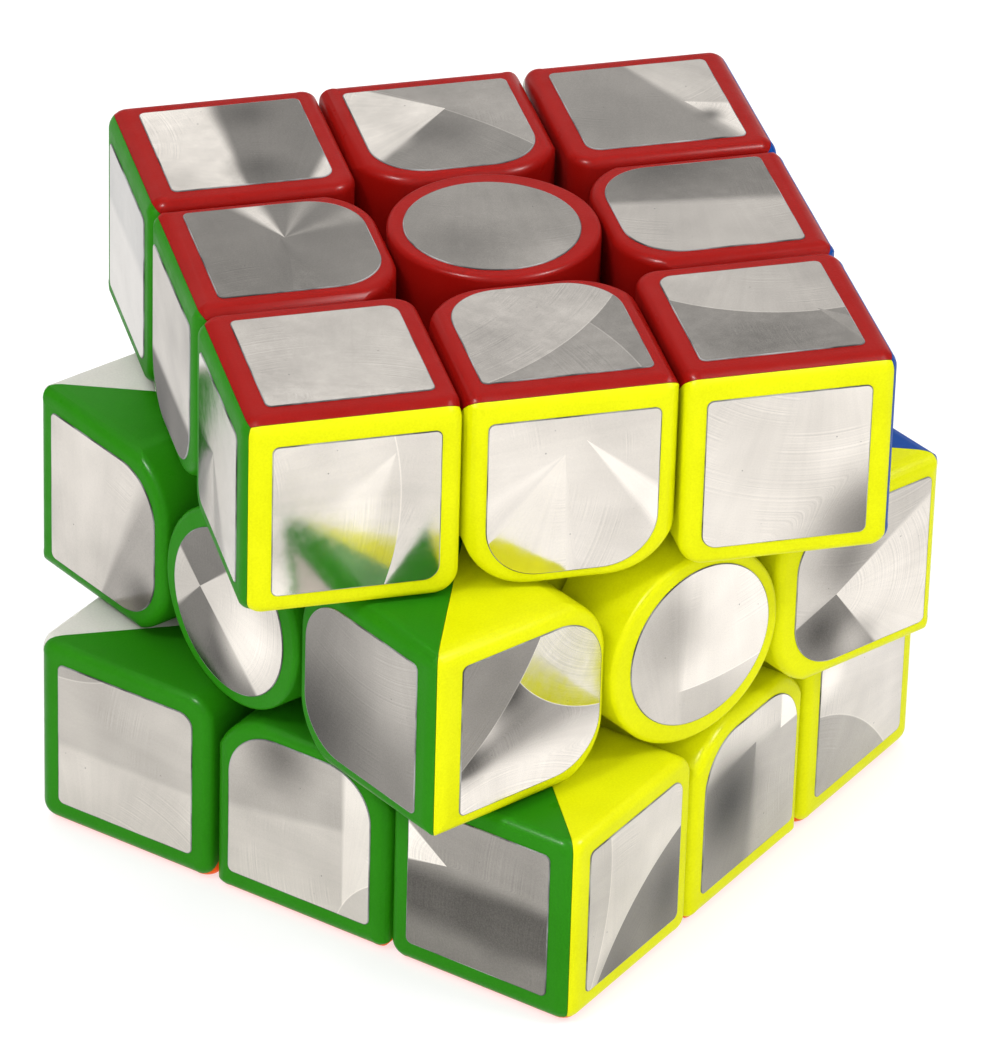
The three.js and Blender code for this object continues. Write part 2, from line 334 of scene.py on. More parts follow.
def make_edge_shell():
    low, high, side = OUTSIDE_CUT, HALF, INSIDE_CUT
    corners = [
        (low, -side, EDGE_INNER_RADIUS),
        (high, -side, OUTER_FILLET),
        (high, side, OUTER_FILLET),
        (low, side, EDGE_INNER_RADIUS),
    ]
    fillets = [RIM_FILLET, OUTER_FILLET, RIM_FILLET, RIM_FILLET]
    points = outline(corners, fillets, [18, 6, 6, 18])
    prism = filleted_prism(points, OUTSIDE_CUT, HALF)
    across = outline(corners, [0] * 4, [18, 6, 6, 18])
    other_facelet = object_from_faces(
        "prism",
        *skin([[(x, at.y, at.x) for at, normal, fillet in across] for x in (HALF + 1, 0)]),
    )
    prism = combine(prism, other_facelet, "INTERSECT")
    foot_low = (OUTSIDE_FOOT_CUT, -INSIDE_FOOT_CUT, OUTSIDE_FOOT_CUT)
    foot_high = (FOOT_END, INSIDE_FOOT_CUT, FOOT_END)
    shell = with_foot(prism, foot_low, foot_high)
    return combine(shell, wedge([(1, 0, -1)]), "INTERSECT")


# Films, on the +Z face


def make_film(points):
    """A thin film whose cut rim is painted dark as a shade line, and a map of its top in millimetres."""
    rings = [
        [(*(at - normal * inset), HALF + FILM_THICKNESS * height) for at, normal, fillet in points]
        for inset, height in FILM_EDGE
    ]
    film = object_from_faces("film", *skin(rings))
    mesh = film.data
    xs = [at.x for at, normal, fillet in points]
    ys = [at.y for at, normal, fillet in points]
    middle = Vector((min(xs) + max(xs), min(ys) + max(ys))) / 2
    layer = mesh.uv_layers.new(name="film_mm")
    for loop in mesh.loops:
        x, y, _ = mesh.vertices[loop.vertex_index].co
        layer.data[loop.index].uv = (x - middle.x, y - middle.y)
    # The rim faces take the second material, a painted dark shade line.
    for polygon in mesh.polygons[:-1]:
        polygon.material_index = 1
    return film


def make_corner_film():
    low = OUTSIDE_CUT + FILM_FROM_SIDE
    high = HALF - FILM_FROM_OUTSIDE
    corners = [(low, low, FILM_CORNER_INNER_RADIUS), (high, low, FILM_RADIUS)]
    corners += [(high, high, FILM_RADIUS), (low, high, FILM_RADIUS)]
    return make_film(outline(corners, [0] * 4, [10, 6, 6, 6]))


def make_edge_film():
    low = OUTSIDE_CUT + FILM_FROM_INNER_END
    high = HALF - FILM_FROM_OUTSIDE
    side = INSIDE_CUT - FILM_FROM_SIDE
    corners = [(low, -side, FILM_EDGE_INNER_RADIUS), (high, -side, FILM_RADIUS)]
    corners += [(high, side, FILM_RADIUS), (low, side, FILM_EDGE_INNER_RADIUS)]
    return make_film(outline(corners, [0] * 4, [16, 6, 6, 16]))


def make_centre_film():
    return make_film(circle(FILM_CENTRE_RADIUS, 72))


# Centres, along +Z

CAP_WALL = 1.4
CAP_TOP = 1.9
NECK_RADIUS = 7.5
STEM_RADIUS = 5.4
STEM_BOTTOM = 9.2
SPRING_SEAT = 12.4
SPRING_BORE_RADIUS = 3.3
SCREW_HOLE_RADIUS = 1.9
SCREW_HEAD_RADIUS = 2.9
SCREW_HEAD_BOTTOM = 20
SCREW_HEAD_TOP = 22.2
SCREW_SHANK_RADIUS = 1.35
SCREW_TIP = 3.2
THREAD_TOP = 8.5
THREAD_PITCH = 0.8
THREAD_DEPTH = 0.22
RECESS_DEPTH = 1.3
RECESS_HALF_LENGTH = 1.5
RECESS_HALF_WIDTH = 0.38
SPRING_RADIUS = 2.45
SPRING_WIRE_RADIUS = 0.35
SPRING_TURNS = 3
CORE_RADIUS = 6.5
ARM_RADIUS = 4.0
ARM_END = 8.8
BORE_BOTTOM = 2.5
BORE_RADIUS = 1.65
BORE_MOUTH_RADIUS = 1.95


def overhang_height(radius):
    return math.sqrt(OVERHANG_RADIUS**2 - radius**2)


def make_cap():
    inside = CENTRE_RADIUS - CAP_WALL
    ceiling = HALF - CAP_TOP
    profile = [(0, ceiling), (inside - 0.4, ceiling), (inside, ceiling - 0.4)]
    profile += [(inside, overhang_height(inside)), (CENTRE_RADIUS - 0.3, overhang_height(CENTRE_RADIUS))]
    profile += [(CENTRE_RADIUS, overhang_height(CENTRE_RADIUS) + 0.3)]
    profile += arc(CENTRE_RADIUS - CAP_FILLET, HALF - CAP_FILLET, CAP_FILLET, 0, 90, 8)
    profile += [(0, HALF)]
    return turned("cap", profile, 96)


def make_base():
    top = HALF - CAP_TOP - GAP
    profile = [(SCREW_HOLE_RADIUS, STEM_BOTTOM)]
    profile += arc(STEM_RADIUS - 0.5, STEM_BOTTOM + 0.5, 0.5, -90, 0)
    profile += [(STEM_RADIUS, overhang_height(STEM_RADIUS))]
    profile += [(NECK_RADIUS, overhang_height(NECK_RADIUS))]
    profile += arc(NECK_RADIUS - 0.5, top - 0.5, 0.5, 0, 90)
    profile += arc(SPRING_BORE_RADIUS + 0.4, top - 0.4, 0.4, 90, 180)
    profile += [(SPRING_BORE_RADIUS, SPRING_SEAT), (SCREW_HOLE_RADIUS, SPRING_SEAT)]
    return turned("base", profile, 72)


def make_screw():
    """A washer-headed screw with a cross recess and a rolled helical thread."""
    per_turn, rows_per_thread = 32, 8
    tip_share, tip_length = 0.45, 1.2
    rows = round((SCREW_HEAD_BOTTOM - SCREW_TIP) / THREAD_PITCH * rows_per_thread)
    rings = []
    for row in range(rows + 1):
        height = SCREW_TIP + (SCREW_HEAD_BOTTOM - SCREW_TIP) * row / rows
        taper = min(1.0, tip_share + (height - SCREW_TIP) / tip_length)
        ring = []
        for step in range(per_turn):
            share = step / per_turn
            wave = abs(((height / THREAD_PITCH - share) % 1) * 2 - 1)
            groove = THREAD_DEPTH * (wave if height < THREAD_TOP else 0.5)
            radius = (SCREW_SHANK_RADIUS - groove) * taper
            angle = 2 * math.pi * share
            ring.append((radius * math.cos(angle), radius * math.sin(angle), height))
        rings.append(ring)
    for radius, height in (
        (SCREW_HEAD_RADIUS - 0.15, SCREW_HEAD_BOTTOM),
        (SCREW_HEAD_RADIUS, SCREW_HEAD_BOTTOM + 0.15),
        (SCREW_HEAD_RADIUS, SCREW_HEAD_BOTTOM + 0.6),
        (2.45, SCREW_HEAD_BOTTOM + 0.8),
        (2.4, SCREW_HEAD_TOP - 0.5),
        (2.1, SCREW_HEAD_TOP - 0.12),
        (1.7, SCREW_HEAD_TOP),
    ):
        rings.append([(at.x, at.y, height) for at, _, _ in circle(radius, per_turn)])
    screw = object_from_faces("screw", *skin(rings))
    bottom = SCREW_HEAD_TOP - RECESS_DEPTH
    for x, y in ((RECESS_HALF_LENGTH, RECESS_HALF_WIDTH), (RECESS_HALF_WIDTH, RECESS_HALF_LENGTH)):
        screw = combine(screw, box((-x, -y, bottom), (x, y, HALF)), "DIFFERENCE")
    return screw


def make_spring():
    clearance = SPRING_WIRE_RADIUS + GAP
    bottom = SPRING_SEAT + clearance
    height = SCREW_HEAD_BOTTOM - clearance - bottom
    steps = SPRING_TURNS * 36
    slope = math.atan2(height, 2 * math.pi * SPRING_RADIUS * SPRING_TURNS)
    rings = []
    for step in range(steps + 1):
        share = step / steps
        angle = 2 * math.pi * SPRING_TURNS * share
        out = Vector((math.cos(angle), math.sin(angle), 0))
        forwards = Vector((-out.y * math.cos(slope), out.x * math.cos(slope), math.sin(slope)))
        up = out.cross(forwards)
        middle = out * SPRING_RADIUS + Vector((0, 0, bottom + height * share))
        rings.append(
            [middle + (out * at.x + up * at.y) * SPRING_WIRE_RADIUS for at, _, _ in circle(1, 12)]
        )
    spring = object_from_faces("spring", *skin(rings))
    bm = bmesh.new()
    bm.from_mesh(spring.data)
    bmesh.ops.recalc_face_normals(bm, faces=bm.faces)
    bm.to_mesh(spring.data)
    bm.free()
    return spring


def make_core():
    core = ball(CORE_RADIUS)
    fillet, mouth, clear = 0.3, 8.5, 9.2
    arm_profile = [(0, 0), (ARM_RADIUS, 0)]
    arm_profile += arc(ARM_RADIUS - fillet, ARM_END - fillet, fillet, 0, 90, 4) + [(0, ARM_END)]
    bore_profile = [(0, BORE_BOTTOM), (BORE_RADIUS, BORE_BOTTOM), (BORE_RADIUS, mouth)]
    bore_profile += [(BORE_MOUTH_RADIUS, clear), (0, clear)]
    for colour in COLOURS:
        arm = turned("arm", arm_profile, 48)
        arm.data.transform(along(SIDES[colour]))
        core = combine(core, arm, "UNION")
    for colour in COLOURS:
        bore = turned("bore", bore_profile, 40)
        bore.data.transform(along(SIDES[colour]))
        core = combine(core, bore, "DIFFERENCE")
    return core


# Places


def axes_to(x_goes_to, z_goes_to):
    """The rotation that takes X and Z to two perpendicular directions."""
    y_goes_to = z_goes_to.cross(x_goes_to)
    return Matrix((x_goes_to, y_goes_to, z_goes_to)).transposed().to_4x4()


def along(direction):
    return Vector((0, 0, 1)).rotation_difference(direction).to_matrix().to_4x4()


def layer_of(colours):
    if "red" in colours:
        return "top_layer"
    return "bottom_layer" if "orange" in colours else "middle_layer"


LAYER_TURNS = {"top_layer": TOP_LAYER_TURN, "bottom_layer": BOTTOM_LAYER_TURN}


def place(name, source, turn, layer, body, materials, replaced=None):
    """Copies a piece to its place at rest, dresses it and ties it to its body."""
    mesh = source.data.copy()
    layer_turn = Matrix.Rotation(LAYER_TURNS.get(layer, 0), 4, "Z")
    mesh.transform(Matrix.Scale(MM, 4) @ Matrix.Translation((0, 0, HALF)) @ layer_turn @ turn)
    piece = new_object(name, mesh)
    for material in materials:
        mesh.materials.append(material)
    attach(piece, body)
    if replaced:
        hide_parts(replaced)
    return piece


# Materials


def node(tree, kind, inputs=None, **settings):
    made = tree.nodes.new(kind)
    for name, value in settings.items():
        setattr(made, name, value)
    for name, value in (inputs or {}).items():
        if isinstance(value, bpy.types.NodeSocket):
            tree.links.new(value, made.inputs[name])
        else:
            made.inputs[name].default_value = value
    return made


def calc(tree, operation, *values, clamp=False):
    inputs = dict(enumerate(values))
    return node(tree, "ShaderNodeMath", inputs, operation=operation, use_clamp=clamp).outputs[0]


def vector_calc(tree, operation, *values, scale=None):
    inputs = dict(enumerate(values))
    if scale is not None:
        inputs["Scale"] = scale
    made = node(tree, "ShaderNodeVectorMath", inputs, operation=operation)
    return made.outputs["Value" if operation == "LENGTH" else "Vector"]


def remap(tree, value, low, high, new_low, new_high, smooth_step=False):
    inputs = {"Value": value, "From Min": low, "From Max": high, "To Min": new_low, "To Max": new_high}
    kind = "SMOOTHSTEP" if smooth_step else "LINEAR"
    return node(tree, "ShaderNodeMapRange", inputs, interpolation_type=kind).outputs["Result"]


MOST = (0.3, 0.7)  # the range that most of a noise's values lie in


def noise(tree, vector, scale, detail=2.0, roughness=0.5):
    inputs = {"Vector": vector, "Scale": scale, "Detail": detail, "Roughness": roughness}
    return node(tree, "ShaderNodeTexNoise", inputs).outputs["Fac"]


def mix(tree, data_type, share, first, second):
    """Mixes two colours, as RGBA, or two vectors, as VECTOR."""
    made = node(tree, "ShaderNodeMix", data_type=data_type)
    kind = {"RGBA": "Color", "VECTOR": "Vector"}[data_type]
    values = {"Factor_Float": share, f"A_{kind}": first, f"B_{kind}": second}
    for target in made.inputs:
        value = values.get(target.identifier)
        if isinstance(value, bpy.types.NodeSocket):
            tree.links.new(value, target)
        elif value is not None:
            target.default_value = value
    return next(socket for socket in made.outputs if socket.identifier == f"Result_{kind}")


def mix_number(tree, share, first, second):
    step = calc(tree, "SUBTRACT", second, first)
    return calc(tree, "MULTIPLY_ADD", share, step, first)


def attribute(tree, name, output="Fac"):
    return node(tree, "ShaderNodeAttribute", attribute_name=name).outputs[output]


def parts_of(tree, vector):
    return node(tree, "ShaderNodeSeparateXYZ", {"Vector": vector}).outputs


def flat_vector(tree, parts):
    """A vector's X and Y, without its Z."""
    return node(tree, "ShaderNodeCombineXYZ", {"X": parts["X"], "Y": parts["Y"]}).outputs["Vector"]


def grey_of(tree, level):
    inputs = {"Red": level, "Green": level, "Blue": level}
    return node(tree, "ShaderNodeCombineColor", inputs).outputs["Color"]


def new_material(name):
    material = bpy.data.materials.new(name)
    material.use_nodes = True
    tree = material.node_tree
    return material, tree, tree.nodes["Principled BSDF"]


def linear(red, green, blue):
    """A colour given as 0 to 255 in sRGB, as the linear values that a shader takes."""
    parts = [value / 255 for value in (red, green, blue)]
    return tuple(
        value / 12.92 if value <= 0.04045 else ((value + 0.055) / 1.055) ** 2.4 for value in parts
    )


def plastic(name, colour):
    """Satin moulded plastic: fine spark-eroded grain on the faces, polished by hands on the rims."""
    material, tree, shader = new_material(name)
    where = node(tree, "ShaderNodeTexCoord").outputs["Object"]
    flatness = attribute(tree, "flatness")
    grain = noise(tree, where, 5200, 3, 0.65)
    patches = noise(tree, where, 160, 3)
    handling = noise(tree, where, 420, 4, 0.6)
    rgb = linear(*colour)
    lighter = tuple(min(1, part * 1.12 + 0.005) for part in rgb) + (1,)
    darker = tuple(part * 0.88 for part in rgb) + (1,)
    mottling = remap(tree, patches, *MOST, 0.3, 0.6)
    tint = calc(tree, "ADD", mottling, remap(tree, grain, *MOST, -0.2, 0.2))
    tree.links.new(mix(tree, "RGBA", tint, darker, lighter), shader.inputs["Base Color"])
    on_face = remap(tree, handling, *MOST, 0.4, 0.56)
    on_rim = remap(tree, handling, *MOST, 0.26, 0.34)
    spread = calc(tree, "SUBTRACT", on_face, on_rim)
    rough = calc(tree, "MULTIPLY_ADD", spread, flatness, on_rim)
    tree.links.new(rough, shader.inputs["Roughness"])
    height = calc(tree, "MULTIPLY", grain, remap(tree, flatness, 0, 1, 0.12, 1))
    bump = node(tree, "ShaderNodeBump", {"Height": height, "Strength": 0.4, "Distance": 0.07 * MM})
    tree.links.new(bump.outputs["Normal"], shader.inputs["Normal"])
    shader.inputs["IOR"].default_value = 1.5
    shader.inputs["Specular IOR Level"].default_value = 0.055
    return material


SECTORS = 6  # the most areas that a film can have
SHARP = 0.05  # the blur of a sharp border, in mm
SHADE_BLUR = 0.5  # and of a sector that is only a painted shade or light
BORDER_LINE = (0.02, 0.1)  # how far from a border its painted bright line is full, and has faded
RAYS_FROM = (3.0, 21.0, 0.0)  # where the rays come from outside all areas


def lay_sectors(tree, here):
    """Lays a film's sectors over one another. A point belongs to the last one that covers it.

    Gives the point's painted reflection grey, how its surface leans, its place from the point that its
    rays come from, and how much it is on the painted bright line round a disc.
    """
    grey = attribute(tree, "foil_painted_grey")
    slope = (0.0, 0.0, 0.0)
    from_point = vector_calc(tree, "SUBTRACT", here, RAYS_FROM)
    painted_highlights = 0.0
    for index in range(SECTORS):
        place_parts = parts_of(tree, attribute(tree, f"sector_place_{index}", "Vector"))
        look = node(tree, "ShaderNodeAttribute", attribute_name=f"sector_painted_look_{index}")
        look_parts = parts_of(tree, look.outputs["Vector"])
        slope_parts = parts_of(tree, attribute(tree, f"sector_slope_{index}", "Vector"))
        blur = slope_parts["Z"]

        offset = vector_calc(tree, "SUBTRACT", here, flat_vector(tree, place_parts))
        offset_parts = parts_of(tree, offset)
        angle = calc(tree, "ARCTAN2", offset_parts["Y"], offset_parts["X"])
        turn = calc(tree, "SUBTRACT", angle, look_parts["X"])
        aside = calc(tree, "ABSOLUTE", calc(tree, "WRAP", turn, math.pi, -math.pi))
        sector_from = calc(tree, "SUBTRACT", look_parts["Y"], look_parts["Z"])
        sector_to = calc(tree, "ADD", look_parts["Y"], look_parts["Z"])
        in_sector = remap(tree, aside, sector_from, sector_to, 1, 0, smooth_step=True)
        beyond = calc(tree, "SUBTRACT", vector_calc(tree, "LENGTH", offset), place_parts["Z"])
        before_rim = calc(tree, "MULTIPLY", blur, -1)
        in_disc = remap(tree, beyond, before_rim, blur, 1, 0, smooth_step=True)
        covered = calc(tree, "MULTIPLY", in_sector, in_disc)
        grey = mix_number(tree, covered, grey, look.outputs["Alpha"])

        # Only an area with a sharp border has its own rays and lean. A blurred one is only painted shade or
        # light.
        sharp = calc(tree, "LESS_THAN", blur, 2 * SHARP)
        ruling = calc(tree, "MULTIPLY", covered, sharp)
        slope = mix(tree, "VECTOR", ruling, slope, flat_vector(tree, slope_parts))
        from_point = mix(tree, "VECTOR", ruling, from_point, offset)
        from_rim = calc(tree, "ABSOLUTE", beyond)
        border = remap(tree, from_rim, *BORDER_LINE, sharp, 0, smooth_step=True)
        hidden = calc(tree, "SUBTRACT", 1, ruling)
        own_line = calc(tree, "MULTIPLY", border, in_sector)
        painted_highlights = calc(tree, "MAXIMUM", calc(tree, "MULTIPLY", painted_highlights, hidden), own_line)
    return grey, slope, from_point, painted_highlights


def mirror_film():
    """Silver foil cut from a sheet of overlapping spun discs, whose light fans out from points.

    Each film's mesh says where its sectors lie. Their greys, the streaks along their rays and the bright
    lines round discs are painted reflections and highlights in the base colour.
    """
    material, tree, shader = new_material("mirror_film")
    here = node(tree, "ShaderNodeUVMap", uv_map="film_mm").outputs["UV"]
    grey, slope, from_point, painted_highlights = lay_sectors(tree, here)

    distance = vector_calc(tree, "LENGTH", from_point)
    outwards = vector_calc(tree, "NORMALIZE", from_point)
    seed = attribute(tree, "foil_seed", "Vector")
    fanned = vector_calc(tree, "ADD", outwards, seed)
    wedges = noise(tree, fanned, 1.6, 1, 0.4)
    rays = noise(tree, fanned, 22, 3, 0.6)
    rings = node(
        tree,
        "ShaderNodeTexNoise",
        {"W": distance, "Scale": 5, "Detail": 4, "Roughness": 0.7},
        noise_dimensions="1D",
    ).outputs["Fac"]
    sheet = vector_calc(tree, "ADD", here, seed)
    clouds = noise(tree, sheet, 0.12, 2)
    painted_sparkle = noise(tree, sheet, 7, 3, 0.7)
    patches = calc(tree, "MULTIPLY_ADD", attribute(tree, "foil_wear"), 0.12, noise(tree, sheet, 0.16, 2))
    worn = remap(tree, patches, 0.5, 0.66, 0, 1, smooth_step=True)

    # The rulings run round the point that the rays come from, and the surface leans with them.
    direction = parts_of(tree, outwards)
    tangent = node(tree, "ShaderNodeTangent", direction_type="UV_MAP", uv_map="film_mm").outputs["Tangent"]
    normal = node(tree, "ShaderNodeNewGeometry").outputs["Normal"]
    bitangent = vector_calc(tree, "CROSS_PRODUCT", normal, tangent)
    radial = vector_calc(
        tree,
        "ADD",
        vector_calc(tree, "SCALE", tangent, scale=direction["X"]),
        vector_calc(tree, "SCALE", bitangent, scale=direction["Y"]),
    )
    around = vector_calc(tree, "CROSS_PRODUCT", normal, radial)
    waviness = remap(tree, wedges, 0.25, 0.75, -0.02, 0.02)
    lean = calc(tree, "ADD", waviness, remap(tree, rays, 0.2, 0.8, -0.004, 0.004))
    slope_parts = parts_of(tree, slope)
    leaning = normal
    for towards, amount in ((radial, lean), (tangent, slope_parts["X"]), (bitangent, slope_parts["Y"])):
        leaning = vector_calc(tree, "ADD", leaning, vector_calc(tree, "SCALE", towards, scale=amount))
    dents = noise(tree, here, 0.3, 2)
    scratches = calc(tree, "MULTIPLY", calc(tree, "MULTIPLY", rings, worn), 0.02)
    height = calc(tree, "ADD", dents, scratches)
    bump = node(
        tree,
        "ShaderNodeBump",
        {"Height": height, "Strength": 0.5, "Distance": 0.02 * MM, "Normal": leaning},
    )
    tree.links.new(bump.outputs["Normal"], shader.inputs["Normal"])
    tree.links.new(around, shader.inputs["Tangent"])

    # The base colour: the painted reflection grey, with painted streaks of light along the rays, random
    # clouds and worn hatching.
    spread = remap(tree, clouds, *MOST, -0.12, 0.12)
    spread = calc(tree, "ADD", spread, remap(tree, rays, 0.2, 0.8, -0.04, 0.04))
    hatching = calc(tree, "MULTIPLY", remap(tree, rings, *MOST, -0.1, 0.1), worn)
    shade = calc(tree, "MULTIPLY", grey, calc(tree, "ADD", calc(tree, "ADD", spread, hatching), 1))
    # Fine painted sparkle, lighter more often than darker.
    shade = calc(tree, "ADD", shade, remap(tree, painted_sparkle, 0.35, 0.75, -0.018, 0.03))
    # The bright lines round discs are painted highlights in the base colour.
    shade = calc(tree, "MULTIPLY_ADD", painted_highlights, 0.12, shade, clamp=True)
    green, blue = calc(tree, "MULTIPLY", shade, 0.935), calc(tree, "MULTIPLY", shade, 0.855)
    warm_grey = {"Red": shade, "Green": green, "Blue": blue}
    silver = node(tree, "ShaderNodeCombineColor", warm_grey).outputs["Color"]
    specks = node(tree, "ShaderNodeTexVoronoi", {"Vector": here, "Scale": 0.45})
    dust = remap(tree, specks.outputs["Distance"], 0.02, 0.045, 0.8, 0)
    dusty = mix(tree, "RGBA", dust, silver, (0.16, 0.15, 0.14, 1))
    tree.links.new(dusty, shader.inputs["Base Color"])
    haze = noise(tree, here, 0.8, 4, 0.6)
    tree.links.new(remap(tree, haze, *MOST, 0.1, 0.17), shader.inputs["Roughness"])
    shader.inputs["Metallic"].default_value = 1
    shader.inputs["Anisotropic"].default_value = 0.6
    return material


def film_rim_painted_shade():
    """The film's cut edge, painted dark as the thin shade line round a film, broken by lighter patches."""
    material, tree, shader = new_material("film_rim_painted_shade")
    where = node(tree, "ShaderNodeTexCoord").outputs["Object"]
    shade = remap(tree, noise(tree, where, 260, 3), 0.35, 0.65, 0.04, 0.34)
    tree.links.new(grey_of(tree, shade), shader.inputs["Base Color"])
    shader.inputs["Roughness"].default_value = 0.5
    return material


def steel():
    """The faintly stained bare steel of the screws and springs."""
    material, tree, shader = new_material("steel")
    where = node(tree, "ShaderNodeTexCoord").outputs["Object"]
    stains = noise(tree, where, 700, 4, 0.6)
    shade = remap(tree, stains, *MOST, 0.42, 0.62)
    tree.links.new(grey_of(tree, shade), shader.inputs["Base Color"])
    tree.links.new(remap(tree, stains, *MOST, 0.2, 0.38), shader.inputs["Roughness"])
    shader.inputs["Metallic"].default_value = 1
    return material


# Colours as 0 to 255 in sRGB
PLASTICS = {
    "red": plastic("red_plastic", (144, 8, 2)),
    "orange": plastic("orange_plastic", (232, 96, 14)),
    "yellow": plastic("yellow_plastic", (217, 220, 0)),
    "white": plastic("white_plastic", (210, 208, 200)),
    "green": plastic("green_plastic", (36, 123, 5)),
    "blue": plastic("blue_plastic", (0, 66, 146)),
}
CORE_PLASTIC = plastic("core_plastic", (38, 38, 42))
MIRROR = mirror_film()
# The film rim's dark colour is a painted shade line.
PAINTED_RIM_SHADE = film_rim_painted_shade()
STEEL = steel()


# The cube


# Each film's foil with painted reflections: its grey, the areas laid over one another on it, and how
# worn it is from 0 to 1. The greys of a film and of its areas are painted reflections and shade,
# laid on the foil's own fans and discs. Places are in mm from the film's middle. On an edge x runs
# away from the middle of the face, and on a corner both x and y do. Angles are in degrees from x.
# Greys run to 255. A lean is how far the foil's surface tilts along x and y.

ALL = 1000  # a radius that reaches everywhere
ROUND = 400  # a half width that leaves a whole disc


def fan(x, y, direction, half_width, grey, softness=1.5, lean=(0, 0)):
    """A sector that fans out from a point, with its own rays and lean and a painted reflection grey."""
    return (x, y, ALL), (direction, half_width, softness), grey, (*lean, SHARP)


def painted_reflection_sector(x, y, direction, half_width, grey, softness):
    """A sector of painted reflection that makes the foil lighter or darker, and not which way its rays run.
    """
    return (x, y, ALL), (direction, half_width, softness), grey, (0, 0, SHADE_BLUR)


def beside(x, y, direction, grey, softness=1.0, lean=(0, 0)):
    """Everything to the right of a line that comes from a distant point in a direction."""
    return fan(x, y, direction - 45, 45, grey, softness, lean)


def disc(x, y, radius, grey, lean=(0, 0)):
    """A round area with a painted reflection grey, whose border shows as a painted bright line."""
    return (x, y, radius), (0, ROUND, 1), grey, (*lean, SHARP)


def painted_reflection_spot(x, y, size, grey):
    """A round painted reflection, lighter or darker, that fades out from its middle."""
    faded_half = size * 0.6
    return (x, y, faded_half), (0, ROUND, 1), grey, (0, 0, faded_half)


